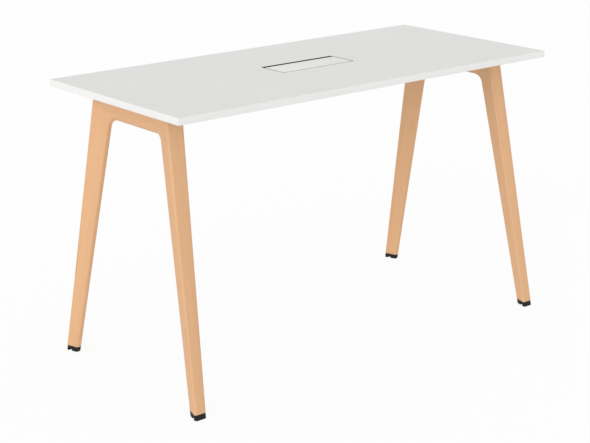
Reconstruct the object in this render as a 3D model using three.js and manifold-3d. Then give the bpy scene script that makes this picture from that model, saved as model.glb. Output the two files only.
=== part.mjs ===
// Standing meeting table: a white board top with a hinged cable flap, on two splayed beech frames.
// Millimetres, +Z up. The origin is on the floor under the middle of the top, X runs along the
// table's length and -Y is the front.
import * as THREE from 'three';
import { mergeVertices } from 'three/addons/utils/BufferGeometryUtils.js';
import Module from 'manifold-3d';

const wasm = await Module();
wasm.setup();

// Table top
const TABLE_HEIGHT = 1070;
const TOP_LENGTH = 1800;
const TOP_WIDTH = 800;
const TOP_THICKNESS = 25;
const EDGE_BAND = 2;
const EDGE_BAND_ROUND = 1;

// Cable flap in the middle of the top
const LID_LENGTH = 345;
const LID_DEPTH = 115;
const LID_FLANGE = 14;
const LID_SHEET = 2;
const LID_CLEARANCE = 2.5;
const LID_CORNER = 2;
const CABLE_SLOT = 15;
const PIVOT_SETBACK = 4;
const PIVOT_DROP = 4;
const PIN_RADIUS = 1.5;
const PIN_GRIP = 3;

// Sheet-steel liner of the cut-out, and the cable tray under it
const LINER_SHEET = 1.5;
const LINER_DROP = 0.25;
const LINER_FLANGE = 24;
const LEDGE_REACH = 6;
const LEDGE_WIDTH = 14;
const LEDGE_SETBACK = 8;
const TRAY_SHEET = 1.5;
const TRAY_OVERHANG = 70;
const TRAY_DEPTH = 65;
const TRAY_MARGIN = 4;
const FLAP_SCREW_INSET = 19;

// Beech frames: widths are along X, depths are across the leg
const FRAME_INSET = 107;
const FRAME_LEAN_DEG = 3;
const FRAME_TOP_WIDTH = 450;
const FRAME_FOOT_WIDTH = 844;
const LEG_TOP_DEPTH = 87;
const LEG_FOOT_DEPTH = 53;
const OUTER_WIDTH_TOP = 76;
const OUTER_WIDTH_FOOT = 50;
const INNER_WIDTH = 18;
const CROSSBAR_DEPTH = 92;
const CORNER_RADIUS = 40;
const WOOD_ROUND = 6;
const TENON_THICKNESS = 10;
const TENON_WIDTH = 40;
const TENON_LENGTH = 50;

// Foot shoes
const FOOT_HEIGHT = 20;
const NOTCH_WIDTH = 10;
const NOTCH_HEIGHT = 9;
const FOOT_SCREW_SEAT = 12;

// Steel rails under the top, and the plates that join them to the crossbars
const RAIL_WIDTH = 50;
const RAIL_HEIGHT = 30;
const RAIL_WALL = 2;
const RAIL_ROUND = 3;
const RAIL_END_GAP = 8;
const RAIL_LINER_GAP = 4;
const PLATE_THICKNESS = 4;
const PLATE_WIDTH = 90;
const PLATE_EAR = 70;
const PLATE_MARGIN = 14;
const PLATE_CORNER = 6;
const PLATE_SCREW_SPACING = 36;
const RAIL_BOLT_SPACING = 32;

// Clearance round everything that is let into, or passes through, another piece
const FIT = 0.25;

// Fasteners: radii and height of the head, and how deep each one bites
const FLAP_SCREW = { shank: 1.9, head: 3.8, headHeight: 2.6, flat: false };
const TOP_SCREW = { shank: 2.4, head: 4.6, headHeight: 3.2, flat: false };
const FOOT_SCREW = { shank: 2.4, head: 4, headHeight: 3, flat: false };
const PLATE_SCREW = { shank: 2.4, head: 4.8, headHeight: 2.6, flat: true };
const RAIL_BOLT = { shank: 4, head: 7, headHeight: 4.5, flat: false };
const BOARD_OVER_SCREW = 8;
const FOOT_SCREW_BITE = 25;
const PLATE_SCREW_BITE = 30;
const RAIL_BOLT_END_GAP = 1;

// Facets of a round shank, and steps in a rounded corner
const SCREW_SIDES = 12;
const ARC_STEPS = 4;

// Values that follow from the sizes above
const UNDERSIDE = TABLE_HEIGHT - TOP_THICKNESS;
const FRAME_SPACING = TOP_LENGTH - 2 * FRAME_INSET;
const CUTOUT_LENGTH = LID_LENGTH + 2 * (LID_CLEARANCE + LINER_SHEET + FIT);
const CUTOUT_DEPTH = LID_DEPTH + LID_CLEARANCE + CABLE_SLOT + 2 * (LINER_SHEET + FIT);
const CUTOUT_MIDDLE = (CABLE_SLOT - LID_CLEARANCE) / 2;
const LID_FRONT = -LID_DEPTH / 2;
const LINER_CORNER = LID_CORNER + LID_CLEARANCE;
const LINER_FLANGE_SEAT = UNDERSIDE - LINER_SHEET;
const FLAP_SCREW_SEAT = LINER_FLANGE_SEAT - TRAY_SHEET;
const FLAP_SCREW_X = CUTOUT_LENGTH / 2 - FLAP_SCREW_INSET;
const FLAP_SCREW_Y = CUTOUT_DEPTH / 2 + (TRAY_MARGIN + LINER_FLANGE) / 2;
const PIVOT_Y = LID_FRONT + PIVOT_SETBACK;
const PIVOT_Z = TABLE_HEIGHT - PIVOT_DROP;
const LINER_BACK = CUTOUT_MIDDLE + CUTOUT_DEPTH / 2 + LINER_FLANGE;
const RAIL_Y = LINER_BACK + RAIL_LINER_GAP + RAIL_WIDTH / 2;
const RAIL_TOP = UNDERSIDE - PLATE_THICKNESS;
const RAIL_REACH = FRAME_SPACING / 2 - OUTER_WIDTH_TOP / 2 - RAIL_END_GAP;
const SCREW_TIP = TABLE_HEIGHT - BOARD_OVER_SCREW;
const LEAN = Math.tan(THREE.MathUtils.degToRad(FRAME_LEAN_DEG));

// Finishes
const finish = (color, roughness, metalness) => () =>
  new THREE.MeshStandardMaterial({ color, roughness, metalness });
const whiteMelamine = finish(0xdddddb, 0.55, 0);
const whiteEdge = finish(0xededeb, 0.5, 0);
const whitePaint = finish(0xdddddb, 0.45, 0);
const beech = finish(0xdda984, 0.6, 0);
const blackPlastic = finish(0x2c2c2d, 0.6, 0);
const blackPaint = finish(0x1d1e20, 0.6, 0.2);
const zincSteel = finish(0xa9acae, 0.4, 0.9);

function piece(name, geometry, material) {
  geometry.computeVertexNormals();
  const mesh = new THREE.Mesh(geometry, material());
  mesh.name = name;
  return mesh;
}

// Cuts and joins of closed solids
function toSolid(geometry) {
  const bare = geometry.clone();
  bare.deleteAttribute('normal');
  bare.deleteAttribute('uv');
  const merged = mergeVertices(bare);
  const vertProperties = Float32Array.from(merged.getAttribute('position').array);
  const triVerts = Uint32Array.from(fullTriangles([...merged.index.array]));
  return new wasm.Manifold(new wasm.Mesh({ numProp: 3, vertProperties, triVerts }));
}

// A revolved outline leaves triangles without area on its axis
function fullTriangles(index) {
  return index.filter((_, i) => {
    const [a, b, c] = index.slice(i - (i % 3), i - (i % 3) + 3);
    return a !== b && b !== c && c !== a;
  });
}

function toGeometry(solid) {
  const mesh = solid.getMesh();
  const geometry = new THREE.BufferGeometry();
  geometry.setAttribute('position', new THREE.BufferAttribute(mesh.vertProperties, 3));
  geometry.setIndex(new THREE.BufferAttribute(mesh.triVerts, 1));
  return geometry.toNonIndexed();
}

function cut(geometry, cutters) {
  return toGeometry(cutters.reduce((solid, cutter) => solid.subtract(toSolid(cutter)), toSolid(geometry)));
}

function join(geometries) {
  return toGeometry(geometries.map(toSolid).reduce((solid, next) => solid.add(next)));
}

// A rectangle about the middle, with round corners, or square ones where the radius comes to nothing
function roundedRectangle(length, depth, radius, grow = 0) {
  const x = length / 2 + grow;
  const y = depth / 2 + grow;
  const r = radius + grow;
  if (r <= 0) {
    const corners = [[x, y], [-x, y], [-x, -y], [x, -y]];
    return new THREE.Shape(corners.map((corner) => new THREE.Vector2(...corner)));
  }
  const shape = new THREE.Shape();
  shape.absarc(x - r, y - r, r, 0, Math.PI / 2);
  shape.absarc(r - x, y - r, r, Math.PI / 2, Math.PI);
  shape.absarc(r - x, r - y, r, Math.PI, Math.PI * 1.5);
  shape.absarc(x - r, r - y, r, Math.PI * 1.5, Math.PI * 2);
  return shape;
}

// An arc in a shape gets two points for each of its curve segments
function extrude(shape, depth) {
  const curveSegments = ARC_STEPS / 2;
  return new THREE.ExtrudeGeometry(shape, { depth, bevelEnabled: false, curveSegments });
}

// A section drawn in X and Y, drawn out along the table's length: its X becomes Y, its Y becomes Z
function extrudeAlongX(shape, length) {
  const geometry = extrude(shape, length).translate(0, 0, -length / 2);
  return geometry.rotateX(Math.PI / 2).rotateZ(Math.PI / 2);
}

function rod(radius, length) {
  return new THREE.CylinderGeometry(radius, radius, length, SCREW_SIDES);
}

// A screw that points up from the seat of its head at z = 0; a flat head lies above its own seat
function screw({ shank, head, headHeight, flat }, length, grow = 0) {
  const r = shank + grow;
  const tip = length + grow;
  const headRadius = head + grow;
  const headEnd = flat ? -grow : -headHeight - grow;
  const neck = flat ? headHeight : 0;
  const outline = [[0, headEnd], [headRadius, headEnd], [headRadius, 0], [r, neck], [r, tip], [0, tip]];
  const profile = outline.map(([x, y]) => new THREE.Vector2(x, y));
  const turned = new THREE.LatheGeometry(profile, SCREW_SIDES);
  return faceOut(turned.rotateX(Math.PI / 2).toNonIndexed());
}

// A skin over rings of equally many points, closed at both ends and facing out
function loft(rings) {
  const count = rings[0].length;
  const index = [];
  for (let ring = 0; ring < rings.length - 1; ring += 1) {
    for (let i = 0; i < count; i += 1) {
      const a = ring * count + i;
      const b = ring * count + ((i + 1) % count);
      index.push(a, b, a + count, b, b + count, a + count);
    }
  }
  const last = (rings.length - 1) * count;
  for (let i = 1; i < count - 1; i += 1) {
    index.push(0, i + 1, i);
    index.push(last, last + i, last + i + 1);
  }
  const geometry = new THREE.BufferGeometry().setFromPoints(rings.flat());
  geometry.setIndex(index);
  return faceOut(geometry.toNonIndexed());
}

function faceOut(geometry) {
  const position = geometry.getAttribute('position');
  const corner = (i) => new THREE.Vector3().fromBufferAttribute(position, i);
  let volume = 0;
  for (let i = 0; i < position.count; i += 3) {
    volume += corner(i).dot(corner(i + 1).cross(corner(i + 2)));
  }
  if (volume > 0) return geometry;
  for (let i = 0; i < position.count; i += 3) {
    const second = corner(i + 1);
    position.setXYZ(i + 1, ...corner(i + 2).toArray());
    position.setXYZ(i + 2, ...second.toArray());
  }
  return geometry;
}

// The corners of a convex outline, listed counterclockwise, each turned into an arc
function roundCorners(corners, radius) {
  return corners.flatMap((corner, i) => {
    const back = corners.at(i - 1).clone().sub(corner).normalize();
    const ahead = corners[(i + 1) % corners.length].clone().sub(corner).normalize();
    const half = back.angleTo(ahead) / 2;
    const centre = back.clone().add(ahead).setLength(radius / Math.sin(half)).add(corner);
    const start = back.multiplyScalar(radius / Math.tan(half)).add(corner).sub(centre);
    const end = ahead.multiplyScalar(radius / Math.tan(half)).add(corner).sub(centre);
    const arc = new THREE.EllipseCurve(
      centre.x, centre.y, radius, radius, start.angle(), end.angle(), false);
    return arc.getPoints(ARC_STEPS);
  });
}

// The A-frame in its own plane. Each place along it has an inner point on the inside edge and an
// outer point on the outside edge, both in Y and Z, and a wedge section between them.
const up = (z) => z / UNDERSIDE;
const legOuterY = (z) => THREE.MathUtils.lerp(FRAME_FOOT_WIDTH, FRAME_TOP_WIDTH, up(z)) / 2;
const legInnerY = (z) => legOuterY(z) - THREE.MathUtils.lerp(LEG_FOOT_DEPTH, LEG_TOP_DEPTH, up(z));
const outerWidth = (z) => THREE.MathUtils.lerp(OUTER_WIDTH_FOOT, OUTER_WIDTH_TOP, up(z));

const CROSSBAR_LOW = UNDERSIDE - CROSSBAR_DEPTH;
const INNER_CORNER = new THREE.Vector2(legInnerY(CROSSBAR_LOW), CROSSBAR_LOW);
const OUTER_CORNER = new THREE.Vector2(legOuterY(UNDERSIDE), UNDERSIDE);
const LEG_INSIDE = new THREE.Vector2(legInnerY(0), 0).sub(INNER_CORNER).normalize();
const CORNER_HALF_ANGLE = LEG_INSIDE.angleTo(new THREE.Vector2(-1, 0)) / 2;
const CORNER_TANGENT = CORNER_RADIUS / Math.tan(CORNER_HALF_ANGLE);
const CORNER_START = LEG_INSIDE.clone().multiplyScalar(CORNER_TANGENT).add(INNER_CORNER);
const CORNER_END = new THREE.Vector2(INNER_CORNER.x - CORNER_TANGENT, CROSSBAR_LOW);
const CORNER_CENTRE = new THREE.Vector2(CORNER_END.x, CROSSBAR_LOW - CORNER_RADIUS);
const CORNER_TURN = Math.PI - 2 * CORNER_HALF_ANGLE;
const HALF_JOINT = FIT / CORNER_RADIUS;

// turn runs from 0 at the leg's end of the rounded corner to CORNER_TURN at the crossbar's end
function cornerPoint(turn) {
  const angle = Math.PI / 2 - CORNER_TURN + turn;
  const spoke = new THREE.Vector2(Math.cos(angle), Math.sin(angle));
  return spoke.multiplyScalar(CORNER_RADIUS).add(CORNER_CENTRE);
}

function legPlace(z) {
  return { inner: new THREE.Vector2(legInnerY(z), z), outer: new THREE.Vector2(legOuterY(z), z) };
}

// The leg's share of the rounded corner, up to the mitre, with half the joint's clearance left off
function legCornerPlace(share) {
  const turn = share * (CORNER_TURN / 2 - HALF_JOINT);
  const z = THREE.MathUtils.lerp(CORNER_START.y, UNDERSIDE - FIT, share);
  return { inner: cornerPoint(turn), outer: new THREE.Vector2(legOuterY(z), z) };
}

// The crossbar's share of it, from the mitre to where the crossbar runs straight
function crossbarCornerPlace(share) {
  const turn = THREE.MathUtils.lerp(CORNER_TURN / 2 + HALF_JOINT, CORNER_TURN, share);
  const y = THREE.MathUtils.lerp(OUTER_CORNER.x - FIT, CORNER_END.x, share);
  return { inner: cornerPoint(turn), outer: new THREE.Vector2(y, UNDERSIDE) };
}

function wedgeRing({ inner, outer }, side) {
  const depth = inner.distanceTo(outer);
  const outerHalf = outerWidth(outer.y) / 2;
  const innerHalf = INNER_WIDTH / 2;
  const corners = [
    new THREE.Vector2(0, innerHalf),
    new THREE.Vector2(0, -innerHalf),
    new THREE.Vector2(depth, -outerHalf),
    new THREE.Vector2(depth, outerHalf),
  ];
  return roundCorners(corners, WOOD_ROUND).map((point) => {
    const place = inner.clone().lerp(outer, point.x / depth);
    return new THREE.Vector3(point.y + (UNDERSIDE - place.y) * LEAN, side * place.x, place.y);
  });
}

const shares = Array.from({ length: ARC_STEPS + 1 }, (_, i) => i / ARC_STEPS);

// Where the foot's screw stands, in the frame's own plane
const FOOT_Y = (legOuterY(FOOT_HEIGHT) + legInnerY(FOOT_HEIGHT)) / 2;
const FOOT_X = (UNDERSIDE - FOOT_HEIGHT) * LEAN;

function footScrew(side, grow = 0) {
  const length = FOOT_HEIGHT + FOOT_SCREW_BITE - FOOT_SCREW_SEAT;
  return screw(FOOT_SCREW, length, grow).translate(FOOT_X, side * FOOT_Y, FOOT_SCREW_SEAT);
}

// A loose tenon across the mitre, halfway between the outer corner and the rounded inside corner
function tenon(side, grow = 0) {
  const inner = cornerPoint(CORNER_TURN / 2);
  const middle = inner.clone().lerp(OUTER_CORNER, 0.5);
  const along = OUTER_CORNER.clone().sub(inner);
  const shape = roundedRectangle(TENON_THICKNESS, TENON_WIDTH, TENON_THICKNESS / 2 - FIT, grow);
  const geometry = extrude(shape, TENON_LENGTH + 2 * grow).translate(0, 0, -TENON_LENGTH / 2 - grow);
  geometry.rotateX(side * along.angle());
  return geometry.translate((UNDERSIDE - middle.y) * LEAN, side * middle.x, middle.y);
}

function legGeometry(side) {
  const places = [legPlace(FOOT_HEIGHT), ...shares.map(legCornerPlace)];
  const blank = loft(places.map((place) => wedgeRing(place, side)));
  return cut(blank, [tenon(side, FIT), footScrew(side, FIT)]);
}

function crossbarGeometry() {
  const front = shares.map(crossbarCornerPlace).map((place) => wedgeRing(place, -1));
  const back = shares.map(crossbarCornerPlace).map((place) => wedgeRing(place, 1)).reverse();
  const blank = loft([...front, ...back]);
  const cutters = [-1, 1].flatMap((side) => [
    tenon(side, FIT),
    plateSeat(side),
    ...[-1, 1].map((step) => plateScrew(side, step, FIT)),
  ]);
  return cut(blank, cutters);
}

function footGeometry(side) {
  const block = loft([0, FOOT_HEIGHT - FIT].map((z) => wedgeRing(legPlace(z), side)));
  const arch = new THREE.Shape();
  const half = NOTCH_WIDTH / 2;
  arch.moveTo(half, -half);
  arch.lineTo(half, NOTCH_HEIGHT - half);
  arch.absarc(0, NOTCH_HEIGHT - half, half, 0, Math.PI);
  arch.lineTo(-half, -half);
  const notch = extrudeAlongX(arch, 2 * OUTER_WIDTH_FOOT).translate(FOOT_X, side * FOOT_Y, 0);
  const access = rod(FOOT_SCREW.head + FIT, 2 * FOOT_SCREW_SEAT).rotateX(Math.PI / 2);
  access.translate(FOOT_X, side * FOOT_Y, 0);
  return cut(block, [notch, access, footScrew(side, FIT)]);
}

// Plates let into the crossbar's top; their ears reach under the top, towards the table's middle
const PLATE_INNER_X = -OUTER_WIDTH_TOP / 2 - PLATE_EAR;
const PLATE_OUTER_X = OUTER_WIDTH_TOP / 2 - PLATE_MARGIN;
const PLATE_LENGTH = PLATE_OUTER_X - PLATE_INNER_X;
const PLATE_X = (PLATE_OUTER_X + PLATE_INNER_X) / 2;
const PLATE_SCREW_X = (PLATE_OUTER_X - OUTER_WIDTH_TOP / 2) / 2;
const RAIL_BOLT_X = -OUTER_WIDTH_TOP / 2 - (PLATE_EAR + RAIL_END_GAP) / 2;
const TOP_SCREW_Y = RAIL_Y + (RAIL_WIDTH + PLATE_WIDTH) / 4;

function plateSeat(side) {
  const shape = roundedRectangle(PLATE_LENGTH, PLATE_WIDTH, PLATE_CORNER, FIT);
  const seat = extrude(shape, 2 * PLATE_THICKNESS);
  return seat.translate(PLATE_X, side * RAIL_Y, UNDERSIDE - PLATE_THICKNESS - FIT);
}

function plateScrew(side, step, grow = 0) {
  const geometry = screw(PLATE_SCREW, PLATE_THICKNESS + PLATE_SCREW_BITE, grow).rotateX(Math.PI);
  const y = side * RAIL_Y + (step * PLATE_SCREW_SPACING) / 2;
  return geometry.translate(PLATE_SCREW_X, y, UNDERSIDE);
}

function railBolt(side, step, grow = 0) {
  const x = RAIL_BOLT_X + (step * RAIL_BOLT_SPACING) / 2;
  const length = RAIL_HEIGHT + PLATE_THICKNESS - RAIL_BOLT_END_GAP;
  return screw(RAIL_BOLT, length, grow).translate(x, side * RAIL_Y, RAIL_TOP - RAIL_HEIGHT);
}

function topScrew(side, grow = 0) {
  const geometry = screw(TOP_SCREW, SCREW_TIP - RAIL_TOP, grow);
  return geometry.translate(RAIL_BOLT_X, side * TOP_SCREW_Y, RAIL_TOP);
}

function plateGeometry(side) {
  const blank = extrude(roundedRectangle(PLATE_LENGTH, PLATE_WIDTH, PLATE_CORNER), PLATE_THICKNESS);
  blank.translate(PLATE_X, side * RAIL_Y, RAIL_TOP);
  const holes = [-1, 1].flatMap((step) => [plateScrew(side, step, FIT), railBolt(side, step, FIT)]);
  return cut(blank, [...holes, topScrew(side, FIT)]);
}

// One frame with its fixings. Local +X points out of the table's end; the left frame is the same
// frame turned half round.
function frame(end) {
  const group = new THREE.Group();
  const endName = end > 0 ? 'right' : 'left';
  group.position.x = (end * FRAME_SPACING) / 2;
  group.rotation.z = end > 0 ? 0 : Math.PI;
  group.add(piece(`crossbar_${endName}`, crossbarGeometry(), beech));
  for (const side of [-1, 1]) {
    const place = `${side * end < 0 ? 'front' : 'back'}_${endName}`;
    group.add(piece(`leg_${place}`, legGeometry(side), beech));
    group.add(piece(`tenon_${place}`, tenon(side), beech));
    group.add(piece(`foot_${place}`, footGeometry(side), blackPlastic));
    group.add(piece(`foot_screw_${place}`, footScrew(side), zincSteel));
    group.add(piece(`plate_${place}`, plateGeometry(side), blackPaint));
    group.add(piece(`top_screw_${place}`, topScrew(side), zincSteel));
    for (const step of [-1, 1]) {
      const number = (step + 3) / 2;
      group.add(piece(`plate_screw_${place}_${number}`, plateScrew(side, step), zincSteel));
      group.add(piece(`rail_bolt_${place}_${number}`, railBolt(side, step), zincSteel));
    }
  }
  return group;
}

// A fixing of the right frame, as it stands in the table at either end
function atEnd(geometry, end) {
  return geometry.translate(FRAME_SPACING / 2, 0, 0).rotateZ(end > 0 ? 0 : Math.PI);
}

function rail(side) {
  const section = roundedRectangle(RAIL_WIDTH, RAIL_HEIGHT, RAIL_ROUND);
  section.holes.push(roundedRectangle(RAIL_WIDTH, RAIL_HEIGHT, RAIL_ROUND, -RAIL_WALL));
  const tube = extrudeAlongX(section, 2 * RAIL_REACH);
  tube.translate(0, side * RAIL_Y, RAIL_TOP - RAIL_HEIGHT / 2);
  const bolts = [-1, 1].flatMap((end) =>
    [-1, 1].map((step) => atEnd(railBolt(side * end, step, FIT), end)));
  return piece(side < 0 ? 'rail_front' : 'rail_back', cut(tube, bolts), blackPaint);
}

// Board, with the cut-out and the blind holes of the screws from below
function topBoard() {
  const shape = roundedRectangle(TOP_LENGTH - 2 * EDGE_BAND, TOP_WIDTH - 2 * EDGE_BAND, 0);
  const board = extrude(shape, TOP_THICKNESS).translate(0, 0, UNDERSIDE);
  const opening = roundedRectangle(CUTOUT_LENGTH, CUTOUT_DEPTH, LINER_CORNER);
  const cutout = extrude(opening, 3 * TOP_THICKNESS).translate(0, CUTOUT_MIDDLE, UNDERSIDE - TOP_THICKNESS);
  const holes = [-1, 1].flatMap((side) => [-1, 1].flatMap((end) => [
    atEnd(topScrew(side, FIT), end),
    flapScrew(side, end, FIT),
  ]));
  return piece('top_board', cut(board, [cutout, ...holes]), whiteMelamine);
}

// Edge strips: square where they are glued on, rounded along the outside
function edgeBands() {
  const section = new THREE.Shape();
  const top = TOP_THICKNESS / 2;
  const r = EDGE_BAND_ROUND;
  section.moveTo(0, -top);
  section.absarc(EDGE_BAND - r, r - top, r, -Math.PI / 2, 0);
  section.absarc(EDGE_BAND - r, top - r, r, 0, Math.PI / 2);
  section.lineTo(0, top);
  const strip = (length) => extrudeAlongX(section, length);
  const bands = [
    piece('edge_band_front', strip(TOP_LENGTH).rotateZ(Math.PI), whiteEdge),
    piece('edge_band_back', strip(TOP_LENGTH), whiteEdge),
    piece('edge_band_left', strip(TOP_WIDTH - 2 * EDGE_BAND).rotateZ(Math.PI / 2), whiteEdge),
    piece('edge_band_right', strip(TOP_WIDTH - 2 * EDGE_BAND).rotateZ(-Math.PI / 2), whiteEdge),
  ];
  const [front, back, left, right] = bands;
  front.position.y = EDGE_BAND - TOP_WIDTH / 2;
  back.position.y = TOP_WIDTH / 2 - EDGE_BAND;
  left.position.x = EDGE_BAND - TOP_LENGTH / 2;
  right.position.x = TOP_LENGTH / 2 - EDGE_BAND;
  for (const band of bands) band.position.z = TABLE_HEIGHT - TOP_THICKNESS / 2;
  return bands;
}

// A pin runs from the liner's outer face, through the lid's flange, to a short free end
const PIN_LENGTH = LINER_SHEET + LID_CLEARANCE + LID_SHEET + PIN_GRIP;
const PIN_MIDDLE = CUTOUT_LENGTH / 2 - FIT - PIN_LENGTH / 2;

function flapPin(end, grow = 0) {
  const geometry = rod(PIN_RADIUS + grow, PIN_LENGTH + 2 * grow).rotateZ(Math.PI / 2);
  return geometry.translate(end * PIN_MIDDLE, PIVOT_Y, PIVOT_Z);
}

// Lid: a shallow tray of folded sheet, open below
function flapLid() {
  const shape = roundedRectangle(LID_LENGTH, LID_DEPTH, LID_CORNER);
  const inside = roundedRectangle(LID_LENGTH, LID_DEPTH, LID_CORNER, -LID_SHEET);
  const rim = TABLE_HEIGHT - LID_FLANGE;
  const shell = extrude(shape, LID_FLANGE).translate(0, 0, rim);
  const hollow = extrude(inside, LID_FLANGE).translate(0, 0, rim - LID_SHEET);
  return piece('flap_lid', cut(shell, [hollow, flapPin(-1, FIT), flapPin(1, FIT)]), whitePaint);
}

// Liner: a wall inside the cut-out, a flange under the board and two ledges that the lid lies on
function flapLiner() {
  const wallTop = TABLE_HEIGHT - LINER_DROP;
  const ring = roundedRectangle(CUTOUT_LENGTH, CUTOUT_DEPTH, LINER_CORNER, -FIT);
  ring.holes.push(roundedRectangle(CUTOUT_LENGTH, CUTOUT_DEPTH, LINER_CORNER, -FIT - LINER_SHEET));
  const wall = extrude(ring, wallTop - LINER_FLANGE_SEAT).translate(0, CUTOUT_MIDDLE, LINER_FLANGE_SEAT);
  const rim = roundedRectangle(CUTOUT_LENGTH, CUTOUT_DEPTH, LINER_CORNER, LINER_FLANGE);
  rim.holes.push(roundedRectangle(CUTOUT_LENGTH, CUTOUT_DEPTH, LINER_CORNER, -FIT - LINER_SHEET));
  const flange = extrude(rim, LINER_SHEET).translate(0, CUTOUT_MIDDLE, LINER_FLANGE_SEAT);
  const ledgeLength = LEDGE_REACH + LID_CLEARANCE + LINER_SHEET / 2;
  const ledgeX = CUTOUT_LENGTH / 2 - FIT - LINER_SHEET / 2 - ledgeLength / 2;
  const ledgeY = LID_FRONT + LID_DEPTH - LEDGE_SETBACK - LEDGE_WIDTH / 2;
  const ledgeZ = TABLE_HEIGHT - LID_FLANGE - FIT - LINER_SHEET / 2;
  const ledges = [-1, 1].map((end) =>
    new THREE.BoxGeometry(ledgeLength, LEDGE_WIDTH, LINER_SHEET).translate(end * ledgeX, ledgeY, ledgeZ));
  const cutters = [-1, 1].flatMap((end) => [
    flapPin(end, FIT),
    ...[-1, 1].map((side) => flapScrew(side, end, FIT)),
  ]);
  return piece('flap_liner', cut(join([wall, flange, ...ledges]), cutters), blackPaint);
}

function flapScrew(side, end, grow = 0) {
  const geometry = screw(FLAP_SCREW, SCREW_TIP - FLAP_SCREW_SEAT, grow);
  return geometry.translate(end * FLAP_SCREW_X, CUTOUT_MIDDLE + side * FLAP_SCREW_Y, FLAP_SCREW_SEAT);
}

// Cable tray: one folded sheet of hat section, open at both ends
function cableTray() {
  const wall = CUTOUT_DEPTH / 2 + TRAY_MARGIN;
  const edge = CUTOUT_DEPTH / 2 + LINER_FLANGE;
  const t = TRAY_SHEET;
  const shape = new THREE.Shape();
  shape.moveTo(-edge, -t);
  shape.lineTo(-wall - t, -t);
  shape.lineTo(-wall - t, -TRAY_DEPTH);
  shape.lineTo(wall + t, -TRAY_DEPTH);
  shape.lineTo(wall + t, -t);
  shape.lineTo(edge, -t);
  shape.lineTo(edge, 0);
  shape.lineTo(wall, 0);
  shape.lineTo(wall, t - TRAY_DEPTH);
  shape.lineTo(-wall, t - TRAY_DEPTH);
  shape.lineTo(-wall, 0);
  shape.lineTo(-edge, 0);
  const tray = extrudeAlongX(shape, CUTOUT_LENGTH + 2 * TRAY_OVERHANG);
  tray.translate(0, CUTOUT_MIDDLE, LINER_FLANGE_SEAT);
  const holes = [-1, 1].flatMap((end) => [-1, 1].map((side) => flapScrew(side, end, FIT)));
  return piece('cable_tray', cut(tray, holes), blackPaint);
}

const table = new THREE.Group();
table.add(topBoard(), ...edgeBands());
table.add(flapLid(), flapLiner(), cableTray());
for (const end of [-1, 1]) {
  const endName = end > 0 ? 'right' : 'left';
  table.add(piece(`flap_pin_${endName}`, flapPin(end), zincSteel));
  for (const side of [-1, 1]) {
    const place = `${side < 0 ? 'front' : 'back'}_${endName}`;
    table.add(piece(`flap_screw_${place}`, flapScrew(side, end), zincSteel));
  }
  table.add(frame(end));
}
table.add(rail(-1), rail(1));

export default table;
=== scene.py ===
"""The finished look of a standing meeting table, built round its solids.

A white board top with a hinged cable flap stands on two splayed beech frames. Lengths are in metres,
+Z is up, X runs along the table and -Y is the front.
"""

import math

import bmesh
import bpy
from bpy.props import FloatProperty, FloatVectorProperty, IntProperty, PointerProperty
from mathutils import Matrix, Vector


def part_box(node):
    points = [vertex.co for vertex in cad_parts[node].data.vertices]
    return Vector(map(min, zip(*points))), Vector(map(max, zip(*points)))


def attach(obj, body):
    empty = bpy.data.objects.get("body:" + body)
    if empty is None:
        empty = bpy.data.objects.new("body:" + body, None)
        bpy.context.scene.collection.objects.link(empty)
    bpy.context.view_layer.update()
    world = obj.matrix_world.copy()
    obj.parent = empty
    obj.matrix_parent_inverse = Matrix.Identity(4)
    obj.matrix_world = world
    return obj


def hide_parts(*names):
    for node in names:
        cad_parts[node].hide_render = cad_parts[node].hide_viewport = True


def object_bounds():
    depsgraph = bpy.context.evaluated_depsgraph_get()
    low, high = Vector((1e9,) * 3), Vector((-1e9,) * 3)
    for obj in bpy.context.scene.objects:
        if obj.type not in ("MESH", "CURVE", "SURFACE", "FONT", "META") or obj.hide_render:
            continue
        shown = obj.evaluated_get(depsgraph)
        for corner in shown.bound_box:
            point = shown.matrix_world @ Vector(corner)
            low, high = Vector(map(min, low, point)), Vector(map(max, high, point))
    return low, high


bl_info = {
    "name": "Standing Meeting Table",
    "version": (1, 0, 0),
    "blender": (4, 5, 0),
    "location": "View3D > Sidebar > Table",
    "description": "Builds the pieces, finishes and studio of a standing meeting table",
    "category": "Object",
}

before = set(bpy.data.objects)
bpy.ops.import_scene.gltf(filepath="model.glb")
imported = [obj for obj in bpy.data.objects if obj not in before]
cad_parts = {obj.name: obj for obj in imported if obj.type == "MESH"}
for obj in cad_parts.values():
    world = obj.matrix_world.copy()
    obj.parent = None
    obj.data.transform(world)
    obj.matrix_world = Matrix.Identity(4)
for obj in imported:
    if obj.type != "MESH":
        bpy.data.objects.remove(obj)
CAD_LOW, CAD_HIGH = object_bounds()
BOARD_LOW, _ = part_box("top_board")
LEG_LOW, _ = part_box("leg_front_right")
_, SHOE_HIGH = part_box("foot_front_right")

TABLE_BODY = "table"
FLAP_BODY = "flap"

# The photograph's frame, its focal length and the row that the camera's axis crosses, in pixels
PHOTO_WIDTH = 590
PHOTO_HEIGHT = 443
PHOTO_FOCAL = 1436
PHOTO_AXIS_ROW = 177
SENSOR_WIDTH_MM = 36

# Places closer than this are the same, and a face with a normal steeper than this faces up or down
CLOSE = 1e-5
UPRIGHT = 0.8

# Corners flatter than the first angle look smooth, and moulded ones sharper than the second are rounded
SMOOTH_ANGLE = math.radians(32)
SHARP_ANGLE = math.radians(50)

# How finely round forms are divided
ROUND_SIDES = 32
SOCKET_SIDES = 6
WOOD_SEGMENTS = 5
SHOE_SEGMENTS = 2
SHEET_SEGMENTS = 4
HEAD_SEGMENTS = 5


def length(name, description, default):
    return FloatProperty(name=name, description=description, default=default, unit="LENGTH", precision=4)


def angle(name, description, degrees):
    return FloatProperty(name=name, description=description, default=math.radians(degrees), subtype="ANGLE")


def share(name, description, default):
    return FloatProperty(
        name=name, description=description, default=default, subtype="FACTOR", min=0, max=1)


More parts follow.
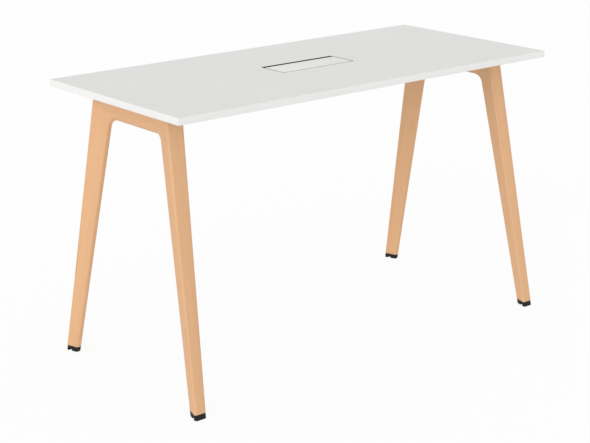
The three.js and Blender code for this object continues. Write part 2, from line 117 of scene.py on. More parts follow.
def strength(name, description, default):
    return FloatProperty(name=name, description=description, default=default, min=0)


def colour(name, description, default):
    return FloatVectorProperty(
        name=name, description=description, default=default, subtype="COLOR", min=0, max=1)


def direction(name, description, default):
    return FloatVectorProperty(name=name, description=description, default=default, subtype="DIRECTION")


class TableFrameSizes(bpy.types.PropertyGroup):
    """Sizes of the beech frames"""

    inset: length("Inset", "From the end of the top to the middle of a frame", 0.107)
    top_width: length("Top width", "Width of a frame under the top, over its outer edges", 0.450)
    foot_width: length("Foot width", "Width of a frame on the floor, over its outer edges", 0.844)
    leg_top_depth: length("Leg depth, top", "Leg from outer to inner edge under the top", 0.087)
    leg_foot_depth: length("Leg depth, foot", "Leg from outer to inner edge on the floor", 0.053)
    outer_width_top: length("Outer width, top", "Wide face of the wedge section under the top", 0.076)
    outer_width_foot: length("Outer width, foot", "Wide face of the wedge section on the floor", 0.050)
    inner_width: length("Inner width", "Narrow face of the wedge section", 0.018)
    crossbar_depth: length("Crossbar depth", "Crossbar from its top to its lower edge", 0.092)
    corner_inside: length("Corner, inside", "Round corner on the side towards the table's middle", 0.045)
    corner_outside: length("Corner, outside", "Round corner on the side towards the table's end", 0.030)
    crossbar_tilt: length("Crossbar tilt", "Half the height the narrow lower face tilts by", 0.006)
    edge_round: length("Edge round", "Rounding along the edges of the wood", 0.006)
    end_round: length("End round", "Rounding along the outer edges towards the table's end", 0.009)
    joint_gap: length("Joint gap", "Half the hairline at a mitre", 0.00005)
    lean: angle("Lean", "How far a frame slopes out from its top to its feet", 3)
    corner_steps: IntProperty(
        name="Corner steps", description="Sections round one inside corner", default=12, min=4)


class TableShoeSizes(bpy.types.PropertyGroup):
    """Sizes of the foot shoes"""

    notch_width: length("Notch width", "Arched notch across the sole", 0.0135)
    notch_height: length("Notch height", "Top of the arched notch over the floor", 0.010)
    notch_shift: length("Notch shift", "From the middle of the sole outwards to the notch", 0.0075)
    screw_hole: length("Screw hole", "Radius of the hole that the screw goes in by", 0.00425)
    screw_seat: length("Screw seat", "Seat of the screw's head over the floor", 0.012)
    edge_round: length("Edge round", "Rounding of the moulded edges", 0.0006)


class TableTopSizes(bpy.types.PropertyGroup):
    """Sizes of the edge strips and the cable flap"""

    strip_round: length("Strip round", "Rounding along an edge strip", 0.001)
    lid_sheet: length("Lid sheet", "Thickness of the folded lid", 0.002)
    lid_fold: length("Lid fold", "Outer radius of the lid's folds", 0.0009)
    lid_corner: length("Lid corner", "Radius of the lid's corners seen from above", 0.002)
    pin_hole: length("Pin hole", "Radius of the hole for a pivot pin", 0.00175)


class TableFastenerSizes(bpy.types.PropertyGroup):
    """Sizes of the screws and bolts"""

    flap_head: length("Flap screw head", "Height of the heads under the cable tray", 0.0026)
    flap_shank: length("Flap screw shank", "Radius of the shanks through the cable tray", 0.0019)
    top_head: length("Top screw head", "Height of the heads under the plates", 0.0032)
    foot_head: length("Foot screw head", "Height of the heads in the shoes", 0.003)
    screw_shank: length("Screw shank", "Radius of the shanks in the top and the legs", 0.0024)
    bolt_head: length("Bolt head", "Height of a bolt's round head", 0.0045)
    bolt_shank: length("Bolt shank", "Radius of a bolt's shank", 0.004)
    head_round: share("Head round", "Rounding of a head as a share of its height", 0.4)
    recess: share("Recess", "Drive recess as a share of the head's width and height", 0.5)
    cross_arm: share("Cross arm", "Width of a cross recess's arms as a share of its reach", 0.25)


class TableFinishes(bpy.types.PropertyGroup):
    """Colours of the finishes"""

    melamine: colour("Melamine", "White facing of the board", (0.747, 0.747, 0.731))
    edge: colour("Edge strip", "White plastic of the edge strips", (0.805, 0.805, 0.790))
    paint: colour("Lid paint", "White powder coat of the flap", (0.780, 0.780, 0.763))
    beech_pale: colour("Beech, pale", "Pale growth of the beech", (0.746, 0.433, 0.225))
    beech_deep: colour("Beech, deep", "Deeper growth of the beech", (0.711, 0.406, 0.209))
    beech_fleck: colour("Beech, fleck", "Short flecks in the beech", (0.520, 0.262, 0.125))
    moulding: colour("Black plastic", "Moulded shoes", (0.011, 0.011, 0.0115))
    # Partly the liner's black coat, partly painted shade: darker and more matt than the steel's coat so
    # that the slot behind the lid reads as shade, and laid on the lid's folds and underside to darken the
    # gap lines
    lining: colour("Black lining", "Matt coat of the liner and of the lid's inside", (0.008, 0.008, 0.0085))
    coat: colour("Black coat", "Powder coat of the steel", (0.020, 0.020, 0.021))
    zinc: colour("Zinc", "Plated fasteners", (0.600, 0.610, 0.620))


class TableStudio(bpy.types.PropertyGroup):
    """Camera, light and floor"""

    camera_place: FloatVectorProperty(
        name="Camera", description="Place of the camera", default=(-3.5196, -4.0884, 2.1541), subtype="XYZ")
    camera_turn: angle("Turn", "Camera's turn from the table's cross direction", 40.154)
    camera_tilt: angle("Tilt", "Camera's tilt below the horizon", 15.853)
    sky: strength("Sky", "Even light from all round", 0.83)
    left_light: strength("Left light", "Soft light from the left", 1.05)
    left_source: direction("Left source", "Where the left light comes from", (-1, -0.5, 0.35))
    front_light: strength("Front light", "Soft light from the front", 0.05)
    front_source: direction("Front source", "Where the front light comes from", (-0.25, -1, 0.3))
    lamp_spread: angle("Lamp spread", "How wide a lamp seems from the table", 45)
    floor: colour("Floor", "Matt floor that takes the shadow", (0.95, 0.95, 0.95))
    floor_white: share("Floor white", "How far the camera sees the floor as plain white", 0.90)
    floor_size: length("Floor size", "Side of the square floor", 60)
    floor_drop: length("Floor drop", "From the soles down to the floor", 0.0005)


def settings():
    return bpy.context.scene.standing_table


# Finishes

# Patterns in the beech, in repeats to the metre: twice across the grain, then along it
GROWTH = (30, 30, 0.8)
STREAKS = (420, 420, 6)
FLECKS = (520, 520, 110)

# How far the pattern is shifted from one piece of wood to the next
PLANK_STEP = Vector((0.37, 0.23, 0.11))


class Finish:
    """A new material with one main shader, and short calls to add and join its nodes"""

    def __init__(self, name, **sockets):
        self.material = bpy.data.materials.new(name)
        self.material.use_nodes = True
        self.tree = self.material.node_tree
        self.shader = self.tree.nodes["Principled BSDF"]
        for socket, value in sockets.items():
            self.shader.inputs[socket.replace("_", " ")].default_value = value
        self.place = self.add("ShaderNodeTexCoord").outputs["Object"]

    def add(self, kind, **inputs):
        node = self.tree.nodes.new(kind)
        for name, value in inputs.items():
            self.put(node.inputs[name.replace("_", " ")], value)
        return node

    def put(self, socket, value):
        if isinstance(value, bpy.types.NodeSocket):
            self.tree.links.new(value, socket)
        else:
            socket.default_value = value

    def mapped(self, scale, rotation=(0, 0, 0), location=(0, 0, 0), source=None):
        node = self.add("ShaderNodeMapping", Vector=source or self.place)
        node.inputs["Scale"].default_value = scale
        node.inputs["Rotation"].default_value = rotation
        node.inputs["Location"].default_value = location
        return node.outputs["Vector"]

    def noise(self, vector, scale=1.0, detail=2.0, roughness=0.5, distortion=0.0):
        node = self.add("ShaderNodeTexNoise", Vector=vector, Scale=scale, Detail=detail,
                        Roughness=roughness, Distortion=distortion)
        return node.outputs["Fac"]

    def cells(self, vector):
        """How far each place is from the middle of its cell"""
        node = self.add("ShaderNodeTexVoronoi", Vector=vector, Scale=1)
        return node.outputs["Distance"]

    def ranged(self, value, low, high, to_low=0.0, to_high=1.0):
        node = self.add("ShaderNodeMapRange", Value=value)
        limits = {"From Min": low, "From Max": high, "To Min": to_low, "To Max": to_high}
        for name, limit in limits.items():
            node.inputs[name].default_value = limit
        return node.outputs["Result"]

    def mixed(self, amount, first, second):
        node = self.tree.nodes.new("ShaderNodeMix")
        node.data_type = "RGBA"
        self.put(node.inputs["Factor"], amount)
        colours = [socket for socket in node.inputs if socket.type == "RGBA"]
        for socket, value in zip(colours, (first, second)):
            self.put(socket, value if isinstance(value, bpy.types.NodeSocket) else (*value, 1))
        return next(socket for socket in node.outputs if socket.type == "RGBA")

    def bump(self, height, distance):
        node = self.add("ShaderNodeBump", Height=height, Distance=distance, Strength=1.0)
        self.use("Normal", node.outputs["Normal"])

    def use(self, socket, value):
        self.put(self.shader.inputs[socket], value)


def tone(rgb, factor):
    """A colour made lighter or darker"""
    return tuple(min(channel * factor, 1) for channel in rgb)


def facing_finish(name, rgb, grain, roughness):
    """White sheet or paint: an even colour with a fine speckle and a pebbled surface"""
    finish = Finish(name, IOR=1.5)
    pebbles = finish.noise(finish.place, scale=grain, detail=2)
    cloud = finish.noise(finish.place, scale=3.5, detail=3)
    shade = finish.mixed(finish.ranged(cloud, 0.3, 0.7), tone(rgb, 0.985), tone(rgb, 1.01))
    speckle = finish.ranged(pebbles, 0.62, 0.74, to_high=0.25)
    finish.use("Base Color", finish.mixed(speckle, shade, tone(rgb, 0.93)))
    finish.use("Roughness", finish.ranged(pebbles, 0.3, 0.7, roughness - 0.05, roughness + 0.06))
    finish.bump(pebbles, 0.00004)
    return finish.material


def beech_finish(name, turn=(0, 0, 0), shift=(0, 0, 0)):
    """Steamed beech: soft growth bands and short flecks that run along the piece"""
    colours = settings().finishes
    finish = Finish(name, IOR=1.48)
    plank = finish.mapped((1, 1, 1), rotation=turn, location=shift)
    growth = finish.noise(finish.mapped(GROWTH, source=plank), detail=3, distortion=0.4)
    streak = finish.noise(finish.mapped(STREAKS, source=plank), detail=2)
    fleck = finish.ranged(finish.cells(finish.mapped(FLECKS, source=plank)), 0.28, 0.12, to_high=0.4)
    wood = finish.mixed(finish.ranged(growth, 0.33, 0.67), colours.beech_deep, colours.beech_pale)
    fine = finish.mixed(
        finish.ranged(streak, 0.35, 0.75, to_high=0.28), wood, tone(colours.beech_deep, 0.86))
    finish.use("Base Color", finish.mixed(fleck, fine, colours.beech_fleck))
    finish.use("Roughness", finish.ranged(streak, 0.3, 0.7, 0.46, 0.6))
    finish.bump(finish.ranged(streak, 0.3, 0.8), 0.00005)
    return finish.material


def moulding_finish(name, rgb, grain, roughness, depth, shine):
    """Black plastic or powder coat: a spark-eroded or pebbled surface with paler clouds of dust"""
    finish = Finish(name, IOR=1.5, Specular_IOR_Level=shine)
    pebbles = finish.noise(finish.place, scale=grain, detail=3, roughness=0.6)
    dust = finish.noise(finish.place, scale=18, detail=4)
    finish.use("Base Color", finish.mixed(finish.ranged(dust, 0.4, 0.75), rgb, tone(rgb, 1.7)))
    finish.use("Roughness", finish.ranged(pebbles, 0.3, 0.7, roughness - 0.08, roughness + 0.08))
    finish.bump(pebbles, depth)
    return finish.material


def zinc_finish(name):
    """Bright zinc plating with a cloudy passivated surface"""
    rgb = settings().finishes.zinc
    finish = Finish(name, Metallic=1.0)
    cloud = finish.noise(finish.place, scale=240, detail=3)
    finish.use("Base Color", finish.mixed(finish.ranged(cloud, 0.35, 0.65), tone(rgb, 0.82), rgb))
    finish.use("Roughness", finish.ranged(cloud, 0.3, 0.7, 0.28, 0.44))
    finish.bump(cloud, 0.00002)
    return finish.material


def paint_nodes(names, material):
    """Gives solids that are shown as they are a new finish"""
    for name in names:
        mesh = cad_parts[name].data
        mesh.materials.clear()
        mesh.materials.append(material)


def nodes_starting(*starts):
    return sorted(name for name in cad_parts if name.startswith(starts))


# Modelling

def deselect_all():
    bpy.ops.object.select_all(action="DESELECT")


def make_active(piece):
    deselect_all()
    piece.select_set(True)
    bpy.context.view_layer.objects.active = piece


def edit(piece, mode="EDGE"):
    make_active(piece)
    bpy.ops.object.mode_set(mode="EDIT")
    bpy.ops.mesh.select_mode(type=mode)


def leave_edit():
    bpy.ops.object.mode_set(mode="OBJECT")


def select_where(piece, parts, test):
    """In edit mode, selects the vertices, edges or faces that pass a test"""
    bpy.ops.mesh.select_all(action="DESELECT")
    mesh = bmesh.from_edit_mesh(piece.data)
    for part in getattr(mesh, parts):
        part.select_set(bool(test(part)))
    bmesh.update_edit_mesh(piece.data)


def select_edges(piece, test):
    """In edit mode, selects the edges whose two ends pass a test"""
    select_where(piece, "edges", lambda edge: test(*[vertex.co for vertex in edge.verts]))


def bevel(offset, segments):
    bpy.ops.mesh.bevel(offset=offset, segments=segments, profile=0.5, affect="EDGES", clamp_overlap=False)


def apply_modifier(piece, kind, **values):
    make_active(piece)
    modifier = piece.modifiers.new(kind.title(), kind)
    for name, value in values.items():
        setattr(modifier, name, value)
    bpy.ops.object.modifier_apply(modifier=modifier.name)


def cut_away(piece, cutter):
    apply_modifier(piece, "BOOLEAN", operation="DIFFERENCE", solver="EXACT", object=cutter)
    bpy.data.meshes.remove(cutter.data)


def copied(piece, place):
    """A copy with its own mesh, moved or turned by a matrix"""
    twin = piece.copy()
    twin.data = piece.data.copy()
    twin.data.transform(place)
    bpy.context.collection.objects.link(twin)
    return twin


def smooth(piece):
    make_active(piece)
    bpy.ops.object.shade_smooth_by_angle(angle=SMOOTH_ANGLE)


def keep(piece, name, node, material, body=TABLE_BODY):
    """Names a finished piece, and lets it stand for its solid"""
    piece.name = name
    piece.data.name = name
    piece.data.materials.clear()
    piece.data.materials.append(material)
    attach(piece, body)
    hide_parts(node)


def block(low, high):
    """A box between two corners, with its place in its mesh"""
    deselect_all()
    bpy.ops.mesh.primitive_cube_add(size=1, location=(low + high) / 2, scale=high - low)
    bpy.ops.object.transform_apply(location=True, rotation=True, scale=True)
    return bpy.context.object


def drum(radius, depth, centre, sides=ROUND_SIDES, rotation=(0, 0, 0)):
    """A round bar about its middle, with its place in its mesh"""
    deselect_all()
    bpy.ops.mesh.primitive_cylinder_add(
        vertices=sides, radius=radius, depth=depth, location=centre, rotation=rotation)
    bpy.ops.object.transform_apply(location=True, rotation=True, scale=True)
    return bpy.context.object


ALONG_X = (0, math.pi / 2, 0)


# A-frames

# The wedge's corners, as their places in a ring
INNER_ROWS = (0, 1)
END_ROW = (2,)
MIDDLE_ROW = (3,)
SIDE_PAIRS = ({0, 3}, {1, 2})
SQUARE = [Vector((-0.5, -0.5, 0)), Vector((0.5, -0.5, 0)), Vector((0.5, 0.5, 0)), Vector((-0.5, 0.5, 0))]

# Rings of the wood: shares of the height up a leg, steps below a corner, and a count along a crossbar
LEG_SHARES = (0.3, 0.6)
RING_STEP = 0.016
NEAR_RINGS = 8
BAR_RINGS = 8

# How finely the sides are divided, and how many times the valley at a mitre is eased
SIDE_CUTS = 5
EASING = 80


class FrameShape:
    """A frame in its own upright plane: inner and outer points, in Y and Z, at each place along it"""

    def __init__(self, sizes):
        self.sizes = sizes
        self.top = BOARD_LOW.z
        low = self.top - sizes.crossbar_depth
        self.inner_corner = Vector((self.inner_y(low), low))
        self.outer_corner = Vector((self.outer_y(self.top), self.top))
        self.leg_inside = (Vector((self.inner_y(0), 0)) - self.inner_corner).normalized()
        self.half_angle = self.leg_inside.angle(Vector((-1, 0))) / 2
        self.corner_reach = self.tangent(max(sizes.corner_inside, sizes.corner_outside))
        self.corner_start = self.inner_corner + self.leg_inside * self.corner_reach
        self.corner_end = self.inner_corner - Vector((self.corner_reach, 0))

    def tangent(self, radius):
        return radius / math.tan(self.half_angle)

    def between(self, at_foot, at_top, z):
        return at_foot + (at_top - at_foot) * z / self.top

    def outer_y(self, z):
        return self.between(self.sizes.foot_width, self.sizes.top_width, z) / 2

    def inner_y(self, z):
        return self.outer_y(z) - self.between(self.sizes.leg_foot_depth, self.sizes.leg_top_depth, z)

    def leg_slope(self):
        """How far the middle of a leg comes in for each metre that it rises"""
        foot, top = [(self.inner_y(z) + self.outer_y(z)) / 2 for z in (0, self.top)]
        return (foot - top) / self.top

    def leg_place(self, z):
        """The two inner points, towards the table's middle and its end, and the outer point"""
        inner = Vector((self.inner_y(z), z))
        return inner, inner, Vector((self.outer_y(z), z))

    def bar_place(self, along):
        """Along the crossbar, from 0 in the middle to 1 at the round corner"""
        y = along * self.corner_end.x
        inner = Vector((y, self.corner_end.y))
        return *self.tilted((inner, inner), 1), Vector((y, self.top))

    def corner_point(self, turned, radius):
        """Along an inner edge, from 0 at the leg's end of the wider corner to 1 at the crossbar's"""
        straight = self.corner_reach - self.tangent(radius)
        turn = math.pi - 2 * self.half_angle
        whole = 2 * straight + radius * turn
        along = turned * whole
        if along <= straight:
            return self.corner_start - self.leg_inside * along
        if along >= whole - straight:
            return self.corner_end + Vector((whole - along, 0))
        bearing = math.pi / 2 - turn + (along - straight) / radius
        centre = self.inner_corner - Vector((self.tangent(radius), radius))
        return centre + radius * Vector((math.cos(bearing), math.sin(bearing)))

    def corner_inners(self, turned):
        sizes = self.sizes
        return [self.corner_point(turned, radius) for radius in (sizes.corner_inside, sizes.corner_outside)]

    def tilted(self, inners, weight):
        """The narrow lower face hangs lower on the side towards the table's middle"""
        drop = Vector((0, self.sizes.crossbar_tilt * weight))
        return inners[0] - drop, inners[1] + drop

    def corner_place(self, turned):
        """From 0 at the leg, over the mitre at a half, to 1 at the crossbar"""
        z = self.corner_start.y + (self.top - self.corner_start.y) * 2 * turned
        outer = Vector((self.outer_y(z), z))
        if turned > 0.5:
            y = self.outer_corner.x + (self.corner_end.x - self.outer_corner.x) * (2 * turned - 1)
            outer = Vector((y, self.top))
        weight = turned * turned * (3 - 2 * turned)
        return *self.tilted(self.corner_inners(turned), weight), outer

    def ring(self, place, side):
        """The wedge's corners at a place: two on the inner edges, then two on the outer"""
        middle_side, end_side, outer = place
        thin = self.sizes.inner_width / 2
        wide = self.between(self.sizes.outer_width_foot, self.sizes.outer_width_top, outer.y) / 2
        flat = [(-thin, middle_side), (thin, end_side), (wide, outer), (-wide, outer)]
        return [Vector((x, side * point.x, point.y)) for x, point in flat]

    def mitre(self, side):
        """A point and a direction: the plane across a corner, facing from the leg to the crossbar"""
        inner = sum(self.corner_inners(0.5), Vector((0, 0))) / 2
        along = (self.outer_corner - inner).normalized()
        return Vector((0, side * inner.x, inner.y)), Vector((0, -side * along.y, along.x))

    def round_edges(self, piece, rings):
        """Rounds the four long edges, by how far each rounding reaches along the faces"""
        sizes = self.sizes
        slope = math.atan2(sizes.leg_top_depth, (sizes.outer_width_top - sizes.inner_width) / 2)
        half = math.tan(slope / 2)
        round_rows(piece, rings, MIDDLE_ROW, sizes.edge_round / half)
        round_rows(piece, rings, END_ROW, sizes.end_round / half)
        round_rows(piece, rings, INNER_ROWS, sizes.edge_round * half)


def move_ring(piece, start, end):
    """In edit mode, moves the selected corners of one ring to another ring's"""
    mesh = bmesh.from_edit_mesh(piece.data)
    for vertex in [v for v in mesh.verts if v.select]:
        row = min(range(len(start)), key=lambda i: (vertex.co - start[i]).length)
        vertex.co = end[row]
    bmesh.update_edit_mesh(piece.data)


def extruded(rings):
    """A square at the first ring, extruded from ring to ring; it is left in edit mode"""
    deselect_all()
    bpy.ops.mesh.primitive_plane_add(size=1)
    piece = bpy.context.object
    edit(piece, "FACE")
    bpy.ops.mesh.select_all(action="SELECT")
    move_ring(piece, SQUARE, rings[0])
    for last, ring in zip(rings, rings[1:]):
        bpy.ops.mesh.extrude_region_move(TRANSFORM_OT_translate={"value": (0, 0, 0)})
        move_ring(piece, last, ring)
    bpy.ops.mesh.select_all(action="SELECT")
    bpy.ops.mesh.normals_make_consistent(inside=False)
    bpy.ops.mesh.select_mode(type="EDGE")
    return piece


def key(point):
    """A point as it is looked up, to the micrometre"""
    return tuple(round(value, 6) for value in point)


def row_finder(rings):
    """Tells which of the wedge's corners a point is, or none"""
    rows = {key(point): row for ring in rings for row, point in enumerate(ring)}
    return lambda point: rows.get(key(point))


def round_rows(piece, rings, rows, offset):
    """In edit mode, rounds the edges that run from ring to ring along some corners"""
    row_of = row_finder(rings)
    select_edges(piece, lambda a, b: row_of(a) in rows and row_of(a) == row_of(b))
    bevel(offset, WOOD_SEGMENTS)


def soften_mitres(piece, rings, shape):
    """In edit mode, eases the valley where the sides of leg and crossbar meet"""
    row_of = row_finder(rings)
    select_edges(piece, lambda a, b: {row_of(a), row_of(b)} in SIDE_PAIRS)
    bpy.ops.mesh.subdivide(number_cuts=SIDE_CUTS)
    bpy.ops.mesh.select_mode(type="VERT")
    low = shape.corner_start.y - (NEAR_RINGS - 1) * RING_STEP
    select_where(piece, "verts", lambda vertex: vertex.co.z > low and row_of(vertex.co) is None)
    bpy.ops.mesh.vertices_smooth(factor=0.5, repeat=EASING, xaxis=True, yaxis=False, zaxis=False)
    bpy.ops.mesh.select_mode(type="EDGE")


def whole_frame(shape):
    """One frame, upright about the middle, as if it were a single piece of wood"""
    steps = shape.sizes.corner_steps
    heights = [LEG_LOW.z, *[part * shape.top for part in LEG_SHARES]]
    heights += [shape.corner_start.y - step * RING_STEP for step in range(NEAR_RINGS, 0, -1)]
    places = [shape.leg_place(z) for z in heights]
    places += [shape.corner_place(step / steps) for step in range(steps + 1)]
    places += [shape.bar_place(1 - step / BAR_RINGS) for step in range(1, BAR_RINGS)]
    rings = [shape.ring(place, -1) for place in places]
    rings.append(shape.ring(shape.bar_place(0), 1))
    rings += [shape.ring(place, 1) for place in reversed(places)]
    piece = extruded(rings)
    soften_mitres(piece, rings, shape)
    shape.round_edges(piece, rings)
    leave_edit()
    return piece


def saw(piece, point, facing):
    """Takes away what lies ahead of a plane, and closes the piece where it is sawn"""
    edit(piece)
    bpy.ops.mesh.select_all(action="SELECT")
    bpy.ops.mesh.bisect(plane_co=point, plane_no=facing, use_fill=True, clear_outer=True)
    leave_edit()


def lean_matrix(sizes):
    """Stands an upright frame at the table's right end, with its feet further out than its top"""
    shear = Matrix.Identity(4)
    shear[0][2] = -math.tan(sizes.lean)
    shear[0][3] = BOARD_LOW.z * math.tan(sizes.lean) + CAD_HIGH.x - sizes.inset
    return shear


HALF_TURN = Matrix.Rotation(math.pi, 4, "Z")
SIDES = {"front": -1, "back": 1}
OTHER_SIDE = {"front": "back", "back": "front"}


def place_frame_pieces(right_pieces, shape):
    """Stands the pieces of the right frame in place, and their twins turned half round at the left end"""
    leaning = lean_matrix(shape.sizes)
    made = {}
    for name, piece in right_pieces.items():
        piece.data.transform(leaning)
        smooth(piece)
        made[f"{name}_right"] = piece
        twin_name = "_".join(OTHER_SIDE.get(word, word) for word in name.split("_"))
        made[f"{twin_name}_left"] = copied(piece, HALF_TURN)
    return made


class TABLE_OT_frames(bpy.types.Operator):
    """Builds the legs and crossbars of both beech frames"""

    bl_idname = "standing_table.frames"
    bl_label = "Beech frames"

    def execute(self, context):
        shape = FrameShape(settings().frames)
        made = place_frame_pieces(self.sawn_pieces(shape), shape)
        for number, (name, piece) in enumerate(sorted(made.items())):
            wood = beech_finish(f"beech_{name}", self.grain_turn(name, shape), PLANK_STEP * number)
            keep(piece, f"beech_{name}", name, wood)
        paint_nodes(nodes_starting("tenon_"), beech_finish("beech_tenons"))
        return {"FINISHED"}

    @staticmethod
    def sawn_pieces(shape):
        """The crossbar and the legs of an upright frame, sawn apart at the mitres"""
        whole = whole_frame(shape)
        crossbar = copied(whole, Matrix())
        pieces = {"crossbar": crossbar}
        for side_name, side in SIDES.items():
            point, facing = shape.mitre(side)
            gap = facing * shape.sizes.joint_gap
            leg = copied(whole, Matrix())
            saw(leg, Vector(), Vector((0, -side, 0)))
            saw(leg, point - gap, facing)
            saw(crossbar, point + gap, -facing)
            pieces[f"leg_{side_name}"] = leg
        bpy.data.meshes.remove(whole.data)
        return pieces

    @staticmethod
    def grain_turn(name, shape):
        """Turns object coordinates so that Z runs with the grain: up a leg, or along a crossbar"""
        grain = Vector((0, 1, 0))
        if name.startswith("leg"):
            low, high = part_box(name)
            outward = low + high
            lean = math.copysign(math.tan(shape.sizes.lean), -outward.x)
            splay = math.copysign(shape.leg_slope(), -outward.y)
            grain = Vector((lean, splay, 1))
        return grain.to_track_quat("Z", "Y").inverted().to_euler()


class TABLE_OT_shoes(bpy.types.Operator):
    """Builds the black shoes on the feet"""

    bl_idname = "standing_table.shoes"
    bl_label = "Foot shoes"

    def execute(self, context):
        shape = FrameShape(settings().frames)
        black = settings().finishes.moulding
        plastic = moulding_finish(
            "black_moulding", black, grain=2600, roughness=0.56, depth=0.00006, shine=0.2)
        right = {f"foot_{side_name}": self.shoe(side, shape) for side_name, side in SIDES.items()}
        for name, shoe in sorted(place_frame_pieces(right, shape).items()):
            keep(shoe, f"shoe_{name}", name, plastic)
        return {"FINISHED"}

    def shoe(self, side, shape):
        """A shoe of an upright frame, with its notch and the hole for its screw"""
        sizes = settings().shoes
        rings = [shape.ring(shape.leg_place(z), side) for z in (0, SHOE_HIGH.z)]
        shoe = extruded(rings)
        shape.round_edges(shoe, rings)
        leave_edit()
        middle = sum(rings[1], Vector()) / len(rings[1])
        cut_away(shoe, self.notch(middle.y + side * sizes.notch_shift, sizes))
        cut_away(shoe, drum(sizes.screw_hole, 2 * sizes.screw_seat, (0, middle.y, 0)))
        apply_modifier(shoe, "BEVEL", width=sizes.edge_round, segments=SHOE_SEGMENTS,
                       limit_method="ANGLE", angle_limit=SHARP_ANGLE)
        return shoe

    @staticmethod
    def notch(y, sizes):
        """A bar of arched section that runs right through the sole"""
        half = sizes.notch_width / 2
        centre = Vector((0, y, sizes.notch_height - half))
        bar = drum(half, 2 * settings().frames.outer_width_foot, centre, rotation=ALONG_X)
        edit(bar, "VERT")
        select_where(bar, "verts", lambda vertex: vertex.co.z < centre.z - CLOSE)
        bpy.ops.transform.translate(value=(0, 0, -sizes.notch_height))
        leave_edit()
        return bar


class TABLE_OT_top(bpy.types.Operator):
    """Finishes the board and builds its edge strips"""

    bl_idname = "standing_table.top"
    bl_label = "Board and edge strips"

    def execute(self, context):
        colours = settings().finishes
        facing = facing_finish("white_melamine", colours.melamine, grain=900, roughness=0.5)
        paint_nodes(["top_board"], facing)
        plastic = facing_finish("white_edge_plastic", colours.edge, grain=1500, roughness=0.42)
        for node in nodes_starting("edge_band_"):
            keep(self.strip(*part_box(node)), f"strip_{node}", node, plastic)
        return {"FINISHED"}

    def strip(self, low, high):
        """An edge strip, square where it is glued on and rounded along the outside"""
        outward = self.outward(low, high)
        outer = max(corner.dot(outward) for corner in (low, high))
        strip = block(low, high)
        edit(strip)
        select_edges(strip, lambda a, b: self.is_outer(a, b, outward, outer))
        bevel(settings().top.strip_round, SHEET_SEGMENTS)
        leave_edit()
        smooth(strip)
        return strip

    @staticmethod
    def outward(low, high):
        """Which way a strip faces: across its thin side, away from the table's middle"""
        size = high - low
        middle = (low + high) / 2
        if size.x < size.y:
            return Vector((math.copysign(1, middle.x), 0, 0))
        return Vector((0, math.copysign(1, middle.y), 0))

    @staticmethod
    def is_outer(a, b, outward, outer):
        level = abs(a.z - b.z) < CLOSE
        return level and all(abs(point.dot(outward) - outer) < CLOSE for point in (a, b))


class TABLE_OT_flap(bpy.types.Operator):
    """Builds the lid of the cable flap, with painted shade in black on its folds, and finishes its liner"""

    bl_idname = "standing_table.flap"
    bl_label = "Cable flap"

    def execute(self, context):
        colours = settings().finishes
        paint = facing_finish("white_powder_coat", colours.paint, grain=1300, roughness=0.42)
        # The black finish is the liner's coat, and painted shade on the lid's folds and in the slot behind
        # the lid
        lining = moulding_finish(
            "matt_black_lining", colours.lining, grain=1500, roughness=0.85, depth=0.00005, shine=0.02)
        lid = self.folded_lid(settings().top)
        keep(lid, "flap_lid_folded", "flap_lid", paint, FLAP_BODY)
        lid.data.materials.append(lining)
        # Faces that don't face up, the folds round the lid and its underside, take the black: painted shade
        # that darkens the gap lines round the lid
        for face in lid.data.polygons:
            face.material_index = int(face.normal.z < UPRIGHT)
        # The liner's black, darker and more matt than the steel's coat, also paints the shade in the slot
        # behind the lid
        paint_nodes(["flap_liner"], lining)
        return {"FINISHED"}

    @staticmethod
    def folded_lid(sizes):
        """A shallow tray of folded sheet, open below, with holes for its pivot pins"""
        low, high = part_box("flap_lid")
        lid = block(low, high)
        edit(lid, "FACE")
        select_where(lid, "faces", lambda face: face.normal.z < -UPRIGHT)
        bpy.ops.mesh.delete(type="FACE")
        bpy.ops.mesh.select_mode(type="EDGE")
        select_edges(lid, lambda a, b: abs(a.z - b.z) > CLOSE)
        bevel(sizes.lid_corner, SHEET_SEGMENTS)
        select_edges(lid, lambda a, b: min(a.z, b.z) > high.z - CLOSE)
        bevel(sizes.lid_fold, SHEET_SEGMENTS)
        leave_edit()
        apply_modifier(lid, "SOLIDIFY", thickness=sizes.lid_sheet, offset=-1, use_even_offset=True)
        for node in nodes_starting("flap_pin_"):
            pin_low, pin_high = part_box(node)
            through = 2 * (pin_high.x - pin_low.x)
            cut_away(lid, drum(sizes.pin_hole, through, (pin_low + pin_high) / 2, rotation=ALONG_X))
        smooth(lid)
        return lid


class TABLE_OT_steelwork(bpy.types.Operator):
    """Finishes the cable tray, the rails and the plates under the top"""

    bl_idname = "standing_table.steelwork"
    bl_label = "Steel under the top"

    def execute(self, context):
        black = settings().finishes.coat
        coat = moulding_finish(
            "black_powder_coat", black, grain=1500, roughness=0.55, depth=0.00005, shine=0.35)
        plates = nodes_starting("plate_front_", "plate_back_")
        paint_nodes(["cable_tray", "rail_front", "rail_back", *plates], coat)
        return {"FINISHED"}


